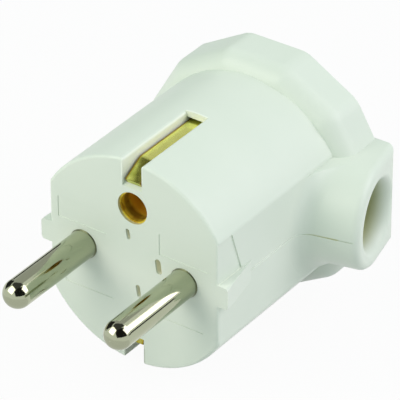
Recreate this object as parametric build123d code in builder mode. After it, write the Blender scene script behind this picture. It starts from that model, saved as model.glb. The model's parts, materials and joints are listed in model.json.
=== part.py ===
from build123d import *
import os
from math import cos, radians, sin, tan

# Side-entry mains plug: a white moulded housing with a twelve-sided grip and a cable spout on its right,
# two round pins, one earth strip bent round the body and a socket for the wall outlet's own earth pin.
# Millimetres. X runs from the left pin to the right pin, Y from the front face to the back, Z up.
# The origin is the middle of the front face.

# Pins
pin_diameter = 4.8
pin_length = 19.0
pin_root_diameter = 5.0
flange_diameter = 9.0
flange_thickness = 1.5
post_diameter = 7.6
post_inset = 13.7
wire_hole_diameter = 3.4
wire_hole_depth = 6.0

# Round body and its side flats
body_radius = 18.4
body_length = 30.7
body_wall = 1.95
front_wall = 3.2
rim_rounding = 0.5
flat_cut = 2.5
flat_rounding = 1.1
flat_wall = 1.75

# Guide ribs, which run out into the flats, and the shallow pockets above them
rib_width = 3.8
rib_height = 1.75
rib_length = 8.8
rib_rounding = 0.6
pocket_depth = 0.2
pocket_short = 3.7
pocket_long = 6.9

# Marks moulded into the front face
panel_depth = 0.1
panel_length = 9.4
panel_height = 3.7
panel_offset = 9.6
panel_shift = 1.2
upper_panel_height = 5.3
lower_panel_height = -6.2
vent_depth = 2.0
vent_places = [((-0.9, 5.0), 0.7, 1.9, 10), ((4.75, 1.1), 1.1, 2.7, 8), ((0.9, -4.8), 0.8, 2.2, 8)]

# Twelve-sided grip
grip_sides = 12
grip_length = 8.9
grip_step = 2.1
grip_corner_rounding = 4.2
grip_shoulder = 3.6
grip_wall = 3.2
grip_floor = 2.5
back_chamfer = 0.4

# Cable spout, leaning back from the wall
spout_tilt = 12.7
spout_radius = 8.85
spout_reach = 5.2
spout_rise = 0.15
mouth_back = 7.15
mouth_rounding = 1.3
spout_fillet = 3.4
bell_radius = 6.9
bell_depth = 3.0
throat_radius = 5.2
throat_length = 1.6
cable_bore_radius = 5.6
seam_width = 0.2
seam_depth = 0.15

# Earth strip and the channels that it lies in
strip_width = 2.9
strip_thickness = 0.8
strip_bend = 1.2
strip_inset = 2.8
strip_plate_width = 8.0
strip_plate_margin = 2.8
channel_width = 3.6
channel_length = 16.9
channel_depth = 2.4
channel_floor = 1.8
channel_rounding = 0.5
ramp_length = 4.2
ramp_angle = 28.0
ramp_recess = 0.4
window_length = 0.6
window_gap = 0.5

# Earth socket
earth_inset = 8.4
earth_hole_diameter = 5.5
earth_hole_lip = 0.5
socket_outer_diameter = 6.3
socket_bore_diameter = 5.0
socket_bore_depth = 16.0
socket_slit = 0.6
socket_slit_length = 12.0
rivet_diameter = 2.8
rivet_head_diameter = 4.6
rivet_head_height = 0.7

# Screw posts inside the housing
boss_radius = 2.8
boss_gap = 2.0
boss_web = 2.0
web_length = 3.8
thread_depth = 9.0

# Screws
terminal_screw_diameter = 3.4
terminal_head_diameter = 5.6
terminal_head_height = 2.2
terminal_screw_lift = 1.0
terminal_thread = 4.0
earth_screw_end = 1.0
clamp_screw_diameter = 3.0
clamp_head_diameter = 5.2
clamp_head_height = 2.0
cover_screw_diameter = 3.5
cover_head_diameter = 6.8
cover_screw_length = 15.0
retainer_screw_diameter = 3.0
retainer_head_diameter = 5.6
retainer_head_height = 1.8
retainer_screw_end = 1.0
slot_width = 0.8
slot_depth = 1.0

# Plates, clamp and cover
retainer_thickness = 2.0
retainer_bar = 10.8
retainer_gap = 0.75
retainer_boss_radius = 3.0
earth_terminal_height = -4.5
earth_plate_size = 7.0
earth_plate_thickness = 0.8
earth_nut_thickness = 2.0
clamp_width = 4.6
clamp_base_height = 6.9
clamp_overhang = 2.7
clamp_groove_radius = 4.0
clamp_arch = 2.2
clamp_foot = 2.5
cover_thickness = 1.9
cover_ledge = 0.9
tongue_angle = 38.0
tongue_width = 5.0
tongue_reach = 1.0
tongue_thickness = 1.2

# Clearances
fit_clearance = 0.05
loose_clearance = 0.15

# Values that follow from those above
overall_depth = body_length + grip_length
inner_radius = body_radius - body_wall
flat_distance = body_radius - flat_cut
inner_flat = flat_distance - flat_wall
pin_spacing = 2 * (inner_flat - loose_clearance) - flange_diameter
pin_places = [(-pin_spacing / 2, 0), (pin_spacing / 2, 0)]
pin_radius = pin_diameter / 2
post_start = front_wall + flange_thickness
post_end = body_length - post_inset
retainer_end = post_start + retainer_thickness
earth_height = body_radius - earth_inset
rib_reach = flat_distance + rib_height
grip_apothem = body_radius + grip_step
grip_inner_radius = grip_apothem - grip_wall
grip_wall_start = body_length + grip_floor
cover_radius = grip_inner_radius + cover_ledge
cover_seat = overall_depth - cover_thickness
cover_head_height = (cover_head_diameter - cover_screw_diameter) / 2
strip_seat = body_radius - channel_depth
strip_middle = strip_seat + strip_thickness / 2
inner_height = strip_seat - channel_floor
ramp_slope = tan(radians(ramp_angle))
ramp_end = strip_middle - (ramp_length - ramp_recess) * ramp_slope
floor_drop = (strip_thickness / 2 + loose_clearance) / cos(radians(ramp_angle))
floor_front = strip_middle - ramp_length * ramp_slope - floor_drop
floor_corner = ramp_length + (floor_drop - strip_thickness / 2) / ramp_slope
window_end = channel_length + window_length
strip_cross_y = channel_length + strip_inset
strip_front = strip_cross_y - strip_thickness / 2
strip_back = strip_cross_y + strip_thickness / 2
strip_plate_height = 2 * (strip_seat - strip_plate_margin)
earth_head_seat = strip_back + earth_plate_thickness
mouth_x = body_radius + spout_reach
mouth_y = overall_depth - mouth_back
spout_axis = Vector(cos(radians(spout_tilt)), sin(radians(spout_tilt)), 0)
mouth_plane = Plane(
    origin=(mouth_x, mouth_y, spout_rise),
    x_dir=(-sin(radians(spout_tilt)), cos(radians(spout_tilt)), 0),
    z_dir=spout_axis,
)
spout_top = spout_rise + spout_radius
spout_bottom = spout_rise - spout_radius
throat_end = bell_depth + throat_length
bell_plane = Plane(origin=mouth_plane.origin, x_dir=spout_axis, z_dir=(0, 0, 1))
spout_front = mouth_plane.from_local_coords(Vector(-spout_radius, 0, 0))
spout_corner_y = spout_front.Y - (spout_front.X - flat_distance) * tan(radians(spout_tilt))
spout_root_start = spout_corner_y - spout_fillet
post_x = inner_flat - web_length
post_z = post_diameter / 2 + boss_radius + boss_gap
right_posts = [(post_x, post_z), (post_x, -post_z)]
left_posts = [(-post_x, post_z), (-post_x, -post_z)]
retainer_upright = 2 * (post_x - boss_radius - retainer_gap)
clamp_split = mouth_y - (mouth_x - post_x) * tan(radians(spout_tilt))
clamp_seat = clamp_split - clamp_base_height
clamp_length = 2 * (post_z + clamp_overhang)
arch_top = clamp_split + clamp_groove_radius + clamp_arch
foot_top = clamp_split + clamp_foot
bore_length = (mouth_x - inner_flat) / cos(radians(spout_tilt)) + cable_bore_radius
reach = 2 * body_radius


def depth_plane(depth):
    """Plane across the plug at a depth behind the front face, with sketch axes X and Z; its normal is -Y."""
    return Plane.XZ.offset(-depth)


# Spout with its rounded mouth, blended into the right flat
with BuildPart() as spout:
    with BuildSketch(Plane.XY):
        with Locations((flat_distance, 0)):
            Rectangle(inner_flat / 2, overall_depth, align=(Align.MAX, Align.MIN))
    extrude(amount=reach, both=True)
    with BuildSketch(mouth_plane):
        Circle(spout_radius)
        Rectangle(reach, 2 * spout_radius, align=(Align.MIN, Align.CENTER))
    extrude(amount=-(mouth_x - inner_flat / 2))
    with BuildSketch(Plane.YZ):
        Rectangle(overall_depth, 2 * reach, align=(Align.MIN, Align.CENTER))
    extrude(amount=reach, mode=Mode.INTERSECT)
    mouth_face = spout.faces().sort_by(Axis((0, 0, 0), spout_axis))[-1]
    fillet(mouth_face.edges(), mouth_rounding)
    flat_face = spout.faces().filter_by(Axis.X).sort_by(Axis.X)[-1]
    root_edges = flat_face.edges().filter_by_position(Axis.Z, spout_bottom, spout_top)
    fillet(root_edges.sort_by(Axis.Y)[1:], spout_fillet)
    with BuildSketch(Plane.YZ):
        with Locations((spout_root_start, spout_rise)):
            Rectangle(overall_depth - spout_root_start, 2 * spout_radius, align=(Align.MIN, Align.CENTER))
    extrude(amount=reach, mode=Mode.INTERSECT)

# Twelve-sided grip with a rounded shoulder
with BuildPart() as grip:
    with BuildSketch(depth_plane(body_length)) as grip_outline:
        RegularPolygon(grip_apothem, grip_sides, major_radius=False, rotation=180 / grip_sides)
        fillet(grip_outline.vertices(), grip_corner_rounding)
    extrude(amount=-grip_length)
    fillet(grip.faces().sort_by(Axis.Y)[0].edges(), grip_shoulder)
    chamfer(grip.faces().sort_by(Axis.Y)[-1].edges(), back_chamfer)

# Guide ribs: two wedges, highest at the front face, with rounded outer corners
with BuildPart() as ribs:
    with BuildSketch(depth_plane(0)):
        RectangleRounded(2 * rib_reach, rib_width, rib_rounding)
        Rectangle(2 * inner_flat, rib_width, mode=Mode.SUBTRACT)
    extrude(amount=-rib_length)
    with BuildSketch(Plane.XY):
        with BuildLine():
            Polyline(
                (-rib_reach, 0),
                (rib_reach, 0),
                (flat_distance, rib_length),
                (-flat_distance, rib_length),
                close=True,
            )
        make_face()
    extrude(amount=rib_width, both=True, mode=Mode.INTERSECT)

# Channels for the earth strip at the top and bottom: rounded edges and a floor that falls to the front
with BuildPart() as channels:
    with BuildSketch(Plane.YZ):
        with BuildLine():
            Polyline(
                (0, floor_front),
                (floor_corner, strip_seat),
                (channel_length, strip_seat),
                (channel_length, reach),
                (0, reach),
                close=True,
            )
        make_face()
        mirror(about=Plane.XZ)
    extrude(amount=channel_width / 2 + 2 * channel_rounding, both=True)
    with BuildSketch(depth_plane(0)) as channel_opening:
        Circle(2 * reach)
        Circle(body_radius, mode=Mode.SUBTRACT)
        Rectangle(channel_width, 2 * reach)
        edge_corners = channel_opening.vertices().filter_by(lambda corner: abs(corner.X) < channel_width)
        fillet(edge_corners, channel_rounding)
    extrude(amount=-channel_length, mode=Mode.INTERSECT)

# Housing: front face, round body, grip and spout in one moulding, hollow and open at the back
with BuildPart() as front_housing:
    with BuildSketch(depth_plane(0)) as body_outline:
        Circle(body_radius)
        Rectangle(2 * flat_distance, reach, mode=Mode.INTERSECT)
        fillet(body_outline.vertices(), flat_rounding)
    extrude(amount=-(body_length + grip_floor))
    fillet(front_housing.faces().sort_by(Axis.Y)[0].edges(), rim_rounding)
    # Shallow pockets above the ribs
    for side in (-1, 1):
        with BuildSketch(Plane.YZ.offset(side * (flat_distance - pocket_depth))):
            with BuildLine():
                Polyline(
                    (0, 0),
                    (pocket_long, 0),
                    (pocket_short, body_radius / 2),
                    (0, body_radius / 2),
                    close=True,
                )
            make_face()
        extrude(amount=side * reach, mode=Mode.SUBTRACT)
    add(ribs.part)
    add(grip.part)
    add(spout.part)
    # Seam of the mould along the right flat and the spout
    with BuildSketch(Plane.XY.offset(spout_rise)):
        with BuildLine():
            FilletPolyline(
                (flat_distance, rib_length),
                (flat_distance, spout_corner_y),
                (spout_front.X, spout_front.Y),
                radius=spout_fillet,
            )
        trace(line_width=2 * seam_depth)
    extrude(amount=seam_width / 2, both=True, mode=Mode.SUBTRACT)
    add(channels.part, mode=Mode.SUBTRACT)
    # Wiring space in three steps, then the seat for the cover
    with BuildSketch(depth_plane(front_wall)):
        Rectangle(2 * inner_flat, 2 * inner_height)
        Circle(inner_radius, mode=Mode.INTERSECT)
    extrude(amount=-(window_end - front_wall), mode=Mode.SUBTRACT)
    with BuildSketch(depth_plane(window_end)):
        Circle(inner_radius)
        Rectangle(2 * inner_flat, reach, mode=Mode.INTERSECT)
    extrude(amount=-(grip_wall_start - window_end), mode=Mode.SUBTRACT)
    with BuildSketch(depth_plane(grip_wall_start)):
        Circle(grip_inner_radius)
    extrude(amount=-(cover_seat - grip_wall_start), mode=Mode.SUBTRACT)
    with BuildSketch(depth_plane(cover_seat)):
        Circle(cover_radius + fit_clearance)
    extrude(amount=-cover_thickness, mode=Mode.SUBTRACT)
    # Windows and grooves in the wall where the strip passes from its channels into the housing
    with BuildSketch(depth_plane(channel_length)):
        with Locations((0, strip_seat), (0, -strip_seat)):
            Rectangle(channel_width, 2 * (strip_thickness + window_gap))
    extrude(amount=-(strip_back + loose_clearance - channel_length), mode=Mode.SUBTRACT)
    # Hooks' slots in the wall of the cover's seat
    with BuildSketch(depth_plane(cover_seat)):
        with PolarLocations(cover_radius, 2, start_angle=-tongue_angle, angular_range=4 * tongue_angle):
            Rectangle(2 * (tongue_reach + loose_clearance), tongue_width + 2 * loose_clearance)
    extrude(amount=-(tongue_thickness + fit_clearance), mode=Mode.SUBTRACT)
    # Cable way through the spout: a flared mouth, a short throat and a wider bore behind it
    with BuildSketch(bell_plane):
        with BuildLine():
            flare = EllipticalCenterArc(
                (-bell_depth, bell_radius),
                bell_depth,
                bell_radius - throat_radius,
                start_angle=-90,
                arc_size=90,
            )
            Polyline(
                flare @ 1,
                (0, 0),
                (-bore_length, 0),
                (-bore_length, cable_bore_radius),
                (-throat_end, cable_bore_radius),
                (-throat_end, throat_radius),
                flare @ 0,
            )
        make_face()
    revolve(axis=Axis(mouth_plane.origin, spout_axis), mode=Mode.SUBTRACT)
    # Screw posts and their webs: the right pair carry the cable clamp, the left pair the cover
    with BuildSketch(depth_plane(front_wall)):
        with Locations(*right_posts):
            Circle(boss_radius)
            Rectangle(inner_flat - post_x + fit_clearance, boss_web, align=(Align.MIN, Align.CENTER))
    extrude(amount=-(clamp_seat - front_wall))
    with BuildSketch(depth_plane(front_wall)):
        with Locations(*left_posts):
            Circle(boss_radius)
            Rectangle(inner_flat - post_x + fit_clearance, boss_web, align=(Align.MAX, Align.CENTER))
    extrude(amount=-(cover_seat - front_wall))
    with BuildSketch(depth_plane(front_wall)):
        Circle(retainer_boss_radius)
    extrude(amount=-flange_thickness)
    # Screw holes in the posts and in the middle boss
    with BuildSketch(depth_plane(clamp_seat)):
        with Locations(*right_posts):
            Circle(clamp_screw_diameter / 2 + fit_clearance)
    extrude(amount=thread_depth, mode=Mode.SUBTRACT)
    with BuildSketch(depth_plane(cover_seat)):
        with Locations(*left_posts):
            Circle(cover_screw_diameter / 2 + fit_clearance)
    extrude(amount=cover_screw_length, mode=Mode.SUBTRACT)
    with BuildSketch(depth_plane(post_start)):
        Circle(retainer_screw_diameter / 2 + fit_clearance)
    extrude(amount=post_start - retainer_screw_end, mode=Mode.SUBTRACT)
    # Holes in the front face for the pins and the earth socket
    with BuildSketch(depth_plane(0)):
        with Locations(*pin_places):
            Circle(pin_root_diameter / 2 + fit_clearance)
        with Locations((0, earth_height)):
            Circle(earth_hole_diameter / 2)
    extrude(amount=-front_wall, mode=Mode.SUBTRACT)
    with BuildSketch(depth_plane(earth_hole_lip)):
        with Locations((0, earth_height)):
            Circle(socket_outer_diameter / 2 + fit_clearance)
    extrude(amount=-(front_wall - earth_hole_lip), mode=Mode.SUBTRACT)
    # Shallow panels and narrow vents moulded into the front face
    with BuildSketch(depth_plane(0)):
        with Locations(
            (-panel_offset, upper_panel_height),
            (panel_offset, upper_panel_height),
            (-panel_offset + panel_shift, lower_panel_height),
            (panel_offset - panel_shift, lower_panel_height),
        ):
            Rectangle(panel_length, panel_height)
    extrude(amount=-panel_depth, mode=Mode.SUBTRACT)
    with BuildSketch(depth_plane(0)):
        for place, width, length, lean in vent_places:
            with Locations(place):
                SlotOverall(length, width, rotation=90 + lean)
    extrude(amount=-vent_depth, mode=Mode.SUBTRACT)

# Back cover: a disc that hooks into the housing on the spout's side and is screwed down on the other
with BuildPart() as rear_cover:
    with BuildSketch(depth_plane(cover_seat)):
        Circle(cover_radius)
    extrude(amount=-cover_thickness)
    with BuildSketch(depth_plane(cover_seat)):
        with PolarLocations(cover_radius, 2, start_angle=-tongue_angle, angular_range=4 * tongue_angle):
            Rectangle(2 * tongue_reach, tongue_width)
    extrude(amount=-tongue_thickness)
    with BuildSketch(depth_plane(cover_seat)):
        with Locations(*left_posts):
            Circle(cover_screw_diameter / 2 + loose_clearance)
    extrude(amount=-cover_thickness, mode=Mode.SUBTRACT)
    with BuildSketch(depth_plane(overall_depth)):
        with Locations(*left_posts):
            Circle(cover_head_diameter / 2)
    extrude(amount=cover_head_height, taper=45, mode=Mode.SUBTRACT)

# Countersunk screws of the cover
with BuildPart() as cover_screws:
    with BuildSketch(depth_plane(overall_depth)):
        with Locations(*left_posts):
            Circle(cover_screw_diameter / 2)
    extrude(amount=cover_screw_length)
    with BuildSketch(depth_plane(overall_depth)):
        with Locations(*left_posts):
            Circle(cover_head_diameter / 2)
    extrude(amount=cover_head_height, taper=45)
    with BuildSketch(depth_plane(overall_depth)):
        with Locations(*left_posts):
            Rectangle(cover_head_diameter, slot_width)
    extrude(amount=slot_depth, mode=Mode.SUBTRACT)

# Left pin, turned in one piece: round tip, flange behind the front wall and a terminal post
with BuildPart() as left_pin:
    with BuildSketch(Plane(origin=(-pin_spacing / 2, 0, 0))):
        with BuildLine():
            CenterArc((0, pin_radius - pin_length), pin_radius, -90, 90)
            Polyline(
                (pin_radius, pin_radius - pin_length),
                (pin_radius, 0),
                (pin_root_diameter / 2, 0),
                (pin_root_diameter / 2, front_wall),
                (flange_diameter / 2, front_wall),
                (flange_diameter / 2, post_start),
                (post_diameter / 2, post_start),
                (post_diameter / 2, post_end),
                (0, post_end),
                (0, -pin_length),
            )
        make_face()
    revolve(axis=Axis((-pin_spacing / 2, 0, 0), (0, 1, 0)))
    with BuildSketch(Plane.XY):
        with Locations((-pin_spacing / 2, post_end - wire_hole_depth)):
            Circle(wire_hole_diameter / 2)
    extrude(amount=post_diameter, both=True, mode=Mode.SUBTRACT)
    with BuildSketch(depth_plane(post_end)):
        with Locations((-pin_spacing / 2, 0)):
            Circle(terminal_screw_diameter / 2 + fit_clearance)
    extrude(amount=wire_hole_depth, mode=Mode.SUBTRACT)

# Right pin
with BuildPart() as right_pin:
    mirror(left_pin.part, about=Plane.YZ)

# Slotted screws that clamp the wires in the pins' terminal posts
with BuildPart() as pin_terminal_screws:
    with BuildSketch(depth_plane(post_end - terminal_thread)):
        with Locations(*pin_places):
            Circle(terminal_screw_diameter / 2)
    extrude(amount=-(terminal_thread + terminal_screw_lift))
    with BuildSketch(depth_plane(post_end + terminal_screw_lift)):
        with Locations(*pin_places):
            Circle(terminal_head_diameter / 2)
    extrude(amount=-terminal_head_height)
    with BuildSketch(depth_plane(post_end + terminal_screw_lift + terminal_head_height)):
        with Locations(*pin_places):
            Rectangle(terminal_head_diameter, slot_width)
    extrude(amount=slot_depth, mode=Mode.SUBTRACT)

# Cross-shaped plate that holds the pins' flanges against the front wall
with BuildPart() as contact_retainer:
    with BuildSketch(depth_plane(post_start)):
        Rectangle(2 * (inner_flat - loose_clearance), retainer_bar)
        Rectangle(retainer_upright, 2 * (inner_height - loose_clearance))
        with Locations(*pin_places):
            Circle(post_diameter / 2 + loose_clearance, mode=Mode.SUBTRACT)
        with Locations((0, earth_height)):
            Circle(socket_outer_diameter / 2 + loose_clearance, mode=Mode.SUBTRACT)
        Circle(retainer_screw_diameter / 2 + loose_clearance, mode=Mode.SUBTRACT)
    extrude(amount=-retainer_thickness)

# Screw of the retaining plate
with BuildPart() as retainer_screw:
    with BuildSketch(depth_plane(retainer_screw_end + loose_clearance)):
        Circle(retainer_screw_diameter / 2)
    extrude(amount=-(retainer_end - retainer_screw_end - loose_clearance))
    with BuildSketch(depth_plane(retainer_end)):
        Circle(retainer_head_diameter / 2)
    extrude(amount=-retainer_head_height)
    with BuildSketch(depth_plane(retainer_end + retainer_head_height)):
        Rectangle(retainer_head_diameter, slot_width)
    extrude(amount=slot_depth, mode=Mode.SUBTRACT)

# Earth strip, bent from one length: a ramp, the top leg, a wide cross plate, the bottom leg and its ramp
with BuildPart() as earth_strip:
    with BuildSketch(Plane.YZ):
        with BuildLine():
            FilletPolyline(
                (ramp_recess, ramp_end),
                (ramp_length, strip_middle),
                (strip_cross_y, strip_middle),
                (strip_cross_y, -strip_middle),
                (ramp_length, -strip_middle),
                (ramp_recess, -ramp_end),
                radius=strip_bend,
            )
        trace(line_width=strip_thickness)
    extrude(amount=strip_width / 2, both=True)
    with BuildSketch(depth_plane(strip_front)):
        Rectangle(strip_plate_width, strip_plate_height)
    extrude(amount=-strip_thickness)
    with BuildSketch(depth_plane(strip_front)):
        with Locations((0, earth_height)):
            Circle(rivet_diameter / 2 + fit_clearance)
        with Locations((0, earth_terminal_height)):
            Circle(terminal_screw_diameter / 2 + loose_clearance)
    extrude(amount=-strip_thickness, mode=Mode.SUBTRACT)

# Earth socket: a sprung sleeve with a closed inner end, riveted to the strip
with BuildPart() as earth_socket:
    with BuildSketch(Plane.XY.offset(earth_height)):
        with BuildLine():
            Polyline(
                (socket_bore_diameter / 2, earth_hole_lip),
                (socket_outer_diameter / 2, earth_hole_lip),
                (socket_outer_diameter / 2, strip_front),
                (rivet_diameter / 2, strip_front),
                (rivet_diameter / 2, strip_back),
                (rivet_head_diameter / 2, strip_back),
                (rivet_head_diameter / 2, strip_back + rivet_head_height),
                (0, strip_back + rivet_head_height),
                (0, earth_hole_lip + socket_bore_depth),
                (socket_bore_diameter / 2, earth_hole_lip + socket_bore_depth),
                close=True,
            )
        make_face()
    revolve(axis=Axis((0, 0, earth_height), (0, 1, 0)))
    with BuildSketch(depth_plane(earth_hole_lip)):
        with Locations((0, earth_height)):
            Rectangle(socket_outer_diameter, socket_slit, align=(Align.MIN, Align.CENTER))
    extrude(amount=-socket_slit_length, mode=Mode.SUBTRACT)

# Earth terminal on the strip's cross plate: clamping plate, nut and screw
with BuildPart() as earth_terminal_plate:
    with BuildSketch(depth_plane(strip_back)):
        with Locations((0, earth_terminal_height)):
            Rectangle(earth_plate_size, earth_plate_size)
            Circle(terminal_screw_diameter / 2 + loose_clearance, mode=Mode.SUBTRACT)
    extrude(amount=-earth_plate_thickness)

with BuildPart() as earth_terminal_nut:
    with BuildSketch(depth_plane(strip_front)):
        with Locations((0, earth_terminal_height)):
            Rectangle(earth_plate_size, earth_plate_size)
            Circle(terminal_screw_diameter / 2 + fit_clearance, mode=Mode.SUBTRACT)
    extrude(amount=earth_nut_thickness)

with BuildPart() as earth_terminal_screw:
    with BuildSketch(depth_plane(earth_head_seat)):
        with Locations((0, earth_terminal_height)):
            Circle(terminal_screw_diameter / 2)
    extrude(amount=earth_head_seat - strip_front + earth_nut_thickness + earth_screw_end)
    with BuildSketch(depth_plane(earth_head_seat)):
        with Locations((0, earth_terminal_height)):
            Circle(terminal_head_diameter / 2)
    extrude(amount=-terminal_head_height)
    with BuildSketch(depth_plane(earth_head_seat + terminal_head_height)):
        with Locations((0, earth_terminal_height)):
            Rectangle(terminal_head_diameter, slot_width)
    extrude(amount=slot_depth, mode=Mode.SUBTRACT)

# Cable clamp on the right posts: a base and an arched strap, each with half of the cable's groove
with BuildPart() as clamp_base:
    with BuildSketch(depth_plane(clamp_seat)):
        with Locations((post_x, 0)):
            Rectangle(clamp_width, clamp_length)
        Circle(inner_radius - loose_clearance, mode=Mode.INTERSECT)
        with Locations(*right_posts):
            Circle(clamp_screw_diameter / 2 + loose_clearance, mode=Mode.SUBTRACT)
    extrude(amount=-(clamp_split - clamp_seat))
    with BuildSketch(mouth_plane):
        Circle(clamp_groove_radius)
    extrude(amount=-reach, mode=Mode.SUBTRACT)

with BuildPart() as clamp_strap:
    with BuildSketch(Plane.YZ.offset(post_x - clamp_width / 2)):
        with Locations((clamp_split, 0)):
            Circle(clamp_groove_radius + clamp_arch)
            Rectangle(reach, reach, align=(Align.MAX, Align.CENTER), mode=Mode.SUBTRACT)
            Rectangle(clamp_foot, clamp_length, align=(Align.MIN, Align.CENTER))
    extrude(amount=clamp_width)
    with BuildSketch(depth_plane(clamp_split)):
        Circle(inner_radius - loose_clearance)
        with Locations(*right_posts):
            Circle(clamp_screw_diameter / 2 + loose_clearance, mode=Mode.SUBTRACT)
    extrude(amount=-(arch_top - clamp_split), mode=Mode.INTERSECT)
    with BuildSketch(mouth_plane):
        Circle(clamp_groove_radius)
    extrude(amount=-reach, mode=Mode.SUBTRACT)

with BuildPart() as clamp_screws:
    with BuildSketch(depth_plane(foot_top)):
        with Locations(*right_posts):
            Circle(clamp_screw_diameter / 2)
    extrude(amount=foot_top - clamp_seat + thread_depth - loose_clearance)
    with BuildSketch(depth_plane(foot_top)):
        with Locations(*right_posts):
            Circle(clamp_head_diameter / 2)
    extrude(amount=-clamp_head_height)
    with BuildSketch(depth_plane(foot_top + clamp_head_height)):
        with Locations(*right_posts):
            Rectangle(clamp_head_diameter, slot_width)
    extrude(amount=slot_depth, mode=Mode.SUBTRACT)

# Every piece goes out under its own name
pieces = {
    "front_housing": front_housing,
    "rear_cover": rear_cover,
    "cover_screws": cover_screws,
    "left_pin": left_pin,
    "right_pin": right_pin,
    "pin_terminal_screws": pin_terminal_screws,
    "contact_retainer": contact_retainer,
    "retainer_screw": retainer_screw,
    "earth_strip": earth_strip,
    "earth_socket": earth_socket,
    "earth_terminal_plate": earth_terminal_plate,
    "earth_terminal_nut": earth_terminal_nut,
    "earth_terminal_screw": earth_terminal_screw,
    "clamp_base": clamp_base,
    "clamp_strap": clamp_strap,
    "clamp_screws": clamp_screws,
}
os.makedirs("parts", exist_ok=True)
for name, piece in pieces.items():
    piece.part.label = name
    export_step(piece.part, f"parts/{name}.step")
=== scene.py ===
import json
from functools import reduce
from math import cos, radians, sin
from operator import mul

import bpy
from mathutils import Matrix, Vector


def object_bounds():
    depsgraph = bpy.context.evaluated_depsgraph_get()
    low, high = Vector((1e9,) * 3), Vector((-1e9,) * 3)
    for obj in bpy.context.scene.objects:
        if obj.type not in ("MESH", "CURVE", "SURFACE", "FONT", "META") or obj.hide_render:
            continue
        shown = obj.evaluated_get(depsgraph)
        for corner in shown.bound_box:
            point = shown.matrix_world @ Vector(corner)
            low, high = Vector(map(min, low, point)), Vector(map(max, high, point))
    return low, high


# Side-entry plug: finishes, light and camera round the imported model, whose shapes stay as they are.
# X runs towards the spout, -Y out along the pins and Z up. Lengths are in metres, and MM is a
# millimetre.

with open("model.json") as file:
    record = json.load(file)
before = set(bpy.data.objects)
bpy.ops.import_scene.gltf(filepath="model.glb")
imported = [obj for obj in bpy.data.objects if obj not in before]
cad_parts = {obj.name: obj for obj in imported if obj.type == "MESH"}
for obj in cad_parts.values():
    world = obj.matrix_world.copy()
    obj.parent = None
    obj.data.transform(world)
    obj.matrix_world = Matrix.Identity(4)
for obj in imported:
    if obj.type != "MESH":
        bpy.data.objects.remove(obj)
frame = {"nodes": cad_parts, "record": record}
nodes = frame["nodes"]
cad_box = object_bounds()
MM = 0.001
WHITE = (1, 1, 1, 1)
BLACK = (0, 0, 0, 1)


# Node trees

class Value:
    """A socket in a node tree; arithmetic on it adds Math nodes."""

    def __init__(self, graph, socket):
        self.graph = graph
        self.socket = socket

    def math(self, operation, first, second):
        return self.graph.node("ShaderNodeMath", {"operation": operation}, {0: first, 1: second})

    def __add__(self, other):
        return self.math("ADD", self, other)

    def __radd__(self, other):
        return self.math("ADD", other, self)

    def __sub__(self, other):
        return self.math("SUBTRACT", self, other)

    def __rsub__(self, other):
        return self.math("SUBTRACT", other, self)

    def __mul__(self, other):
        return self.math("MULTIPLY", self, other)

    def __rmul__(self, other):
        return self.math("MULTIPLY", other, self)

    def absolute(self):
        return self.graph.node("ShaderNodeMath", {"operation": "ABSOLUTE"}, {0: self})

    def ramp(self, start, full):
        """0 at start, 1 at full and a smooth change between; either may be the larger."""
        return self.graph.node(
            "ShaderNodeMapRange",
            {"interpolation_type": "SMOOTHSTEP"},
            {"Value": self, "From Min": start, "From Max": full},
        )


class Graph:
    """A node tree, to which nodes are added by type, settings and inputs."""

    def __init__(self, tree):
        self.tree = tree

    def fill(self, socket, value):
        """Link a value to a socket, or set the socket to a number or colour."""
        if isinstance(value, Value):
            self.tree.links.new(value.socket, socket)
        else:
            socket.default_value = value

    def node(self, kind, settings, inputs, output=0):
        made = self.tree.nodes.new(kind)
        for key, setting in settings.items():
            setattr(made, key, setting)
        for key, value in inputs.items():
            self.fill(made.inputs[key], value)
        return Value(self, made.outputs[output])

    def mix(self, factor, first, second):
        """Colour that goes from first to second; 6, 7 and 2 are the Mix node's colour sockets."""
        return self.node("ShaderNodeMix", {"data_type": "RGBA"}, {0: factor, 6: first, 7: second}, 2)

    def seen(self):
        """1 for what the camera, a reflection or glass shows, 0 for light on surfaces."""
        direct, mirrored, through = [
            self.node("ShaderNodeLightPath", {}, {}, f"Is {kind} Ray")
            for kind in ("Camera", "Glossy", "Transmission")
        ]
        return self.node(
            "ShaderNodeMath", {"operation": "MINIMUM"}, {0: direct + mirrored + through, 1: 1.0}
        )


class Finish(Graph):
    """A node material whose shader is one Principled BSDF."""

    def __init__(self, name):
        self.material = bpy.data.materials.new(name)
        self.material.use_nodes = True
        super().__init__(self.material.node_tree)
        self.shader = self.tree.nodes["Principled BSDF"]
        self.place = self.node("ShaderNodeTexCoord", {}, {}, "Object")

    def axis(self, name):
        return self.node("ShaderNodeSeparateXYZ", {}, {0: self.place}, name)

    def vector(self, operation, inputs, output):
        return self.node("ShaderNodeVectorMath", {"operation": operation}, inputs, output)

    def noise(self, scale, detail, stretch=(1, 1, 1)):
        at = self.node("ShaderNodeMapping", {}, {"Vector": self.place, "Scale": stretch})
        return self.node("ShaderNodeTexNoise", {}, {"Vector": at, "Scale": scale, "Detail": detail})

    def bump(self, height, distance, strength):
        return self.node(
            "ShaderNodeBump", {}, {"Height": height, "Distance": distance, "Strength": strength}
        )

    def set(self, **inputs):
        for key, value in inputs.items():
            self.fill(self.shader.inputs[key.replace("_", " ")], value)


def colour(red, green, blue):
    """Linear colour from the usual 0 to 255 steps of a screen colour."""
    steps = [step / 255 for step in (red, green, blue)]
    return [((s + 0.055) / 1.055) ** 2.4 if s > 0.04045 else s / 12.92 for s in steps] + [1.0]


def zone(*edges):
    """1 inside all the edges. An edge is a value, where it starts and where it is full, in mm."""
    return reduce(mul, [value.ramp(start * MM, full * MM) for value, start, full in edges])


# Finishes

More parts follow.
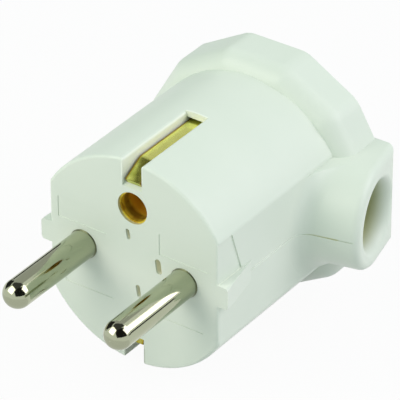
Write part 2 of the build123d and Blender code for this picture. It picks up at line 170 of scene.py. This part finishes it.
SEAM_HEIGHT = 0.15 * MM
EARTH_HOLE_HEIGHT = 10 * MM


def moulded_white():
    """Satin white plastic, a little green, with flow marks and a fine grain; painted light and
    painted shade in its channels, seam, vents, earth hole lip and cable way.
    """
    finish = Finish("moulded_white")
    across, depth, height = [finish.axis(name) for name in "XYZ"]
    aside = across.absolute()
    off_middle = height.absolute()
    off_seam = (height - SEAM_HEIGHT).absolute()
    above_hole = height - EARTH_HOLE_HEIGHT
    hole_radius_squared = across * across + above_hole * above_hole
    entry = next(row for row in frame["record"]["mounts"] if row["name"] == "cable_entry")
    from_entry = finish.vector("SUBTRACT", {0: finish.place, 1: entry["pos_m"]}, "Vector")
    outward = finish.vector("DOT_PRODUCT", {0: from_entry, 1: entry["axis"]}, "Value")
    entry_distance = finish.vector("LENGTH", {0: from_entry}, "Value")

    top_channel_painted_light = zone((aside, 2.1, 1.9), (height, 14.8, 15.6), (depth, 17.3, 17.1))
    bottom_channel_painted_shade = zone((aside, 2.1, 1.9), (height, -14.8, -15.6), (depth, 17.3, 17.1))
    pocket_edge_painted_light = zone(
        (aside, 15.7, 15.74), (aside, 15.89, 15.85),
        (depth, 0.1, 0.4), (depth, 9, 8),
        (off_middle, 8.7, 8.3),
    )
    seam = zone(
        (off_seam, 0.16, 0.1),
        (across, 15.2, 15.4), (across, 22.6, 21.8),
        (depth, 9, 10), (depth, 30, 29),
        (entry_distance, 8.5, 8.7),
    )
    vents_painted_light = zone((aside, 6.8, 6.6), (off_middle, 7.2, 7), (depth, 0.12, 0.5), (depth, 2.6, 2.4))
    hole_lip_painted_shade = hole_radius_squared.ramp(8.4 * MM * MM, 8.0 * MM * MM)
    hole_lip_painted_shade = hole_lip_painted_shade * zone((depth, 0, 0.1), (depth, 0.8, 0.7))
    cable_way_painted_shade = zone((entry_distance, 7.7, 7), (outward, 3.4, 0))

    cloud = finish.noise(scale=90, detail=3)
    grain = finish.noise(scale=2600, detail=2)
    # Seam tint: painted light on the flat, where it lightens the groove's shade, and painted shade
    # along the spout's part of the seam.
    rear_part = depth.ramp(21 * MM, 24 * MM)
    seam_painted_light_and_shade = finish.mix(rear_part, colour(242, 247, 238), colour(204, 206, 158))
    shade = finish.mix(cloud, colour(222, 230, 217), colour(229, 235, 223))
    for place, tint in (
        # Painted light: lightens the shaded walls of the top earth channel and the pocket step on the
        # flat.
        (top_channel_painted_light * 0.7 + pocket_edge_painted_light * 0.8, colour(250, 253, 240)),
        # Painted shade: darkens the bottom earth channel.
        (bottom_channel_painted_shade * 0.6, colour(150, 158, 140)),
        (seam, seam_painted_light_and_shade),
        # Painted light: lightens the shade inside the three narrow vents.
        (vents_painted_light, colour(246, 244, 222)),
        # Painted shade: darkens the plastic lip inside the earth hole.
        (hole_lip_painted_shade, colour(206, 202, 156)),
        # Painted shade: darkens the inside of the spout's bore, more so with depth.
        (cable_way_painted_shade * 0.7, colour(160, 160, 54)),
    ):
        shade = finish.mix(place, shade, tint)
    finish.set(
        Base_Color=shade,
        Roughness=0.36 + cloud * 0.1,
        Normal=finish.bump(grain, distance=0.012 * MM, strength=0.5),
        IOR=1.46,
    )
    return finish.material


def nickel_plate():
    """Polished nickel on a turned pin: fine rings, soft stains and a painted shade line at the front
    face.
    """
    finish = Finish("nickel_plate")
    rings = finish.noise(scale=1, detail=2, stretch=(60, 9000, 60))
    stain = finish.noise(scale=160, detail=3)
    # Painted shade: the root zone darkens the pin where it meets the front face.
    root = finish.axis("Y").ramp(-0.45 * MM, -0.05 * MM)
    plate = finish.mix(stain, colour(167, 173, 147), colour(181, 186, 160))
    finish.set(
        Base_Color=finish.mix(root * 0.25, plate, colour(78, 84, 66)),
        Metallic=1.0,
        Roughness=0.06 + stain * 0.08 + root * 0.2,
        Normal=finish.bump(rings, distance=0.004 * MM, strength=0.4),
    )
    return finish.material


def earth_brass():
    """Bare brass, brown in patches, with painted shade along its edges, on the bottom strip and as
    olive blotches on the front ramps.
    """
    finish = Finish("earth_brass")
    patches = finish.noise(scale=420, detail=4) * 0.3
    # Painted shade: the edge band darkens the strip where its gap to the channel walls lies in
    # shadow.
    edges = finish.axis("X").absolute().ramp(1.05 * MM, 1.4 * MM)
    # tarnish here holds both the real tarnish patches and the painted gap shade along the edges.
    tarnish = patches + edges - patches * edges
    drawn = finish.noise(scale=1, detail=2, stretch=(9000, 220, 220))
    blotches = finish.noise(scale=300, detail=3).ramp(0.3, 0.6)
    # Painted shade: olive blotches on the front ramp stand in for its dark reflections and shadow.
    ramp_painted_shade = finish.axis("Y").ramp(4.6 * MM, 3.4 * MM) * blotches
    # Painted shade: darkens the bottom earth strip.
    bottom = finish.axis("Z").ramp(-11 * MM, -13 * MM)
    bare = finish.mix(ramp_painted_shade * 0.85, colour(246, 252, 146), colour(150, 162, 46))
    strip = finish.mix(tarnish, bare, colour(160, 130, 44))
    finish.set(
        Base_Color=finish.mix(bottom * 0.7, strip, colour(104, 92, 26)),
        Metallic=1.0,
        Roughness=0.25 + tarnish * 0.1,
        Normal=finish.bump(drawn, distance=0.006 * MM, strength=0.4),
    )
    return finish.material


def socket_brass():
    """Dull brass of the earth pin's sleeve, with a painted shade ring inside it and amber behind
    that.
    """
    finish = Finish("socket_brass")
    tarnish = finish.noise(scale=480, detail=2).ramp(0.42, 0.62)
    depth = finish.axis("Y")
    # Painted shade: a dark ring inside the sleeve.
    ring = (depth - 1.9 * MM).absolute().ramp(1.0 * MM, 0.3 * MM)
    inner = depth.ramp(2.3 * MM, 3.2 * MM)
    sleeve = finish.mix(tarnish, colour(250, 228, 76), colour(196, 158, 40))
    ringed = finish.mix(ring * 0.7, sleeve, colour(120, 92, 16))
    finish.set(
        Base_Color=finish.mix(inner * 0.9, ringed, colour(252, 208, 58)),
        Metallic=0.6,
        Roughness=0.4 + tarnish * 0.15,
    )
    return finish.material


def screw_steel():
    """Zinc-plated steel."""
    finish = Finish("screw_steel")
    haze = finish.noise(scale=300, detail=3)
    finish.set(
        Base_Color=finish.mix(haze, colour(144, 148, 149), colour(172, 174, 171)),
        Metallic=1.0,
        Roughness=0.3 + haze * 0.14,
    )
    return finish.material


def inner_plastic():
    """Natural plastic of the pieces inside."""
    finish = Finish("inner_plastic")
    cloud = finish.noise(scale=120, detail=3)
    finish.set(
        Base_Color=finish.mix(cloud, colour(214, 214, 204), colour(224, 224, 214)),
        Roughness=0.45 + cloud * 0.1,
    )
    return finish.material


finishes = {
    "white_plastic": moulded_white(),
    "nickel_plate": nickel_plate(),
    "earth_brass": earth_brass(),
    "socket_brass": socket_brass(),
    "screw_steel": screw_steel(),
    "inner_plastic": inner_plastic(),
}
for row in frame["record"]["subparts"]:
    nodes[row["node"]].data.materials.clear()
    nodes[row["node"]].data.materials.append(finishes[row["material_slot"]])


# Camera

LOOKED_AT = Vector((0, 10, 0)) * MM
CAMERA_AZIMUTH = 35.88
CAMERA_ELEVATION = 33.20
CAMERA_ROLL = -0.51
CAMERA_DISTANCE = 576.5 * MM
AIM_RIGHT = 4.46 * MM
AIM_UP = 5.28 * MM
LENS = 334.6


def direction(azimuth, elevation):
    """Unit vector from the plug: degrees round it, from the front to the spout, and degrees up."""
    turn, rise = radians(azimuth), radians(elevation)
    return Vector((cos(rise) * sin(turn), -cos(rise) * cos(turn), sin(rise)))


towards = direction(CAMERA_AZIMUTH, CAMERA_ELEVATION)
level = Vector((-towards.y, towards.x, 0)).normalized()
right = Matrix.Rotation(radians(CAMERA_ROLL), 3, towards) @ level
up = towards.cross(right)
stand = LOOKED_AT + towards * CAMERA_DISTANCE
aim = LOOKED_AT + right * AIM_RIGHT + up * AIM_UP
back = (stand - aim).normalized()
side = up.cross(back).normalized()
camera = bpy.data.objects.new("camera", bpy.data.cameras.new("camera"))
bpy.context.collection.objects.link(camera)
camera.matrix_world = Matrix((side, back.cross(side), back)).transposed().to_4x4()
camera.location = stand
camera.data.lens = LENS
camera.data.clip_start = 0.01
bpy.context.scene.camera = camera


# Floor, cards, lamps and background

CARD_DISTANCE = 0.9
FLOOR_SIZE = 4
FLOOR_GAP = 0.05 * MM
FLOOR_GREY = (0.64, 0.64, 0.64, 1)
FLOOR_GLOW = 0.95   # share of plain white in what is seen of the floor; the rest holds the shadow
SKY_LIGHT = (0.37, 0.495, 0.485, 1)
lowest = cad_box[0][2]


def turned(azimuth, elevation):
    """Rotation whose Z axis points that way."""
    return direction(azimuth, elevation).to_track_quat("Z", "Y").to_euler()


def card(name, azimuth, elevation, width, height, tone, place=None):
    """Grey card that only reflections see, on that side of the plug or at a place of its own."""
    distant = LOOKED_AT + direction(azimuth, elevation) * CARD_DISTANCE
    bpy.ops.mesh.primitive_plane_add(size=1, location=place or distant)
    made = bpy.context.active_object
    made.name = name
    made.rotation_euler = turned(azimuth, elevation)
    made.scale = (width, height, 1)
    made.visible_camera = made.visible_diffuse = made.visible_shadow = False
    board = Finish(name)
    board.set(Base_Color=BLACK, Roughness=1.0, Emission_Color=WHITE, Emission_Strength=tone)
    made.data.materials.append(board.material)


def lamp(name, azimuth, elevation, distance, size, energy, tint):
    """Square soft lamp, aimed at the plug."""
    made = bpy.data.objects.new(name, bpy.data.lights.new(name, "AREA"))
    bpy.context.collection.objects.link(made)
    made.data.size = size
    made.data.energy = energy
    made.data.color = tint
    made.location = LOOKED_AT + direction(azimuth, elevation) * distance
    made.rotation_euler = turned(azimuth, elevation)


bpy.ops.object.select_all(action="DESELECT")
bpy.ops.mesh.primitive_plane_add(size=FLOOR_SIZE, location=(0, 0, lowest - FLOOR_GAP))
floor = bpy.context.active_object
floor.name = "floor"
paper = Finish("paper")
paper.set(Base_Color=FLOOR_GREY, Roughness=0.9)
glow = paper.node("ShaderNodeEmission", {}, {"Color": WHITE, "Strength": 1.0})
matt = Value(paper, paper.shader.outputs[0])
shown = paper.node("ShaderNodeMixShader", {}, {0: paper.seen() * FLOOR_GLOW, 1: matt, 2: glow})
paper.fill(paper.tree.nodes["Material Output"].inputs["Surface"], shown)
floor.data.materials.append(paper.material)

card("front_card", azimuth=57, elevation=42, width=1.5, height=1.15, tone=0.01)
card("left_card", azimuth=262, elevation=24, width=0.75, height=0.7, tone=0.02)
card("back_card", azimuth=212, elevation=40, width=0.8, height=0.75, tone=0.55)
card("left_horizon_card", azimuth=226, elevation=4, width=0.9, height=0.3, tone=0.03)
card("right_horizon_card", azimuth=133, elevation=2, width=0.9, height=0.14, tone=0.03)
card("top_card", azimuth=270, elevation=80, width=1.1, height=1.0, tone=0.07)
before_pins = (0, -55 * MM, lowest)
card("floor_card", azimuth=0, elevation=90, width=0.12, height=0.1, tone=0.8, place=before_pins)

lamp("key", azimuth=118, elevation=37, distance=0.6, size=0.46, energy=1.98, tint=(1, 0.905, 0.955))
lamp("fill", azimuth=330, elevation=38, distance=0.36, size=0.28, energy=0.76, tint=(1, 0.935, 0.865))

world = bpy.data.worlds.new("world")
bpy.context.scene.world = world
world.use_nodes = True
sky = Graph(world.node_tree)
sky_colour = sky.mix(sky.seen(), SKY_LIGHT, WHITE)
sky.fill(sky.tree.nodes["Background"].inputs["Color"], sky_colour)
bpy.context.scene.view_settings.view_transform = "Standard"
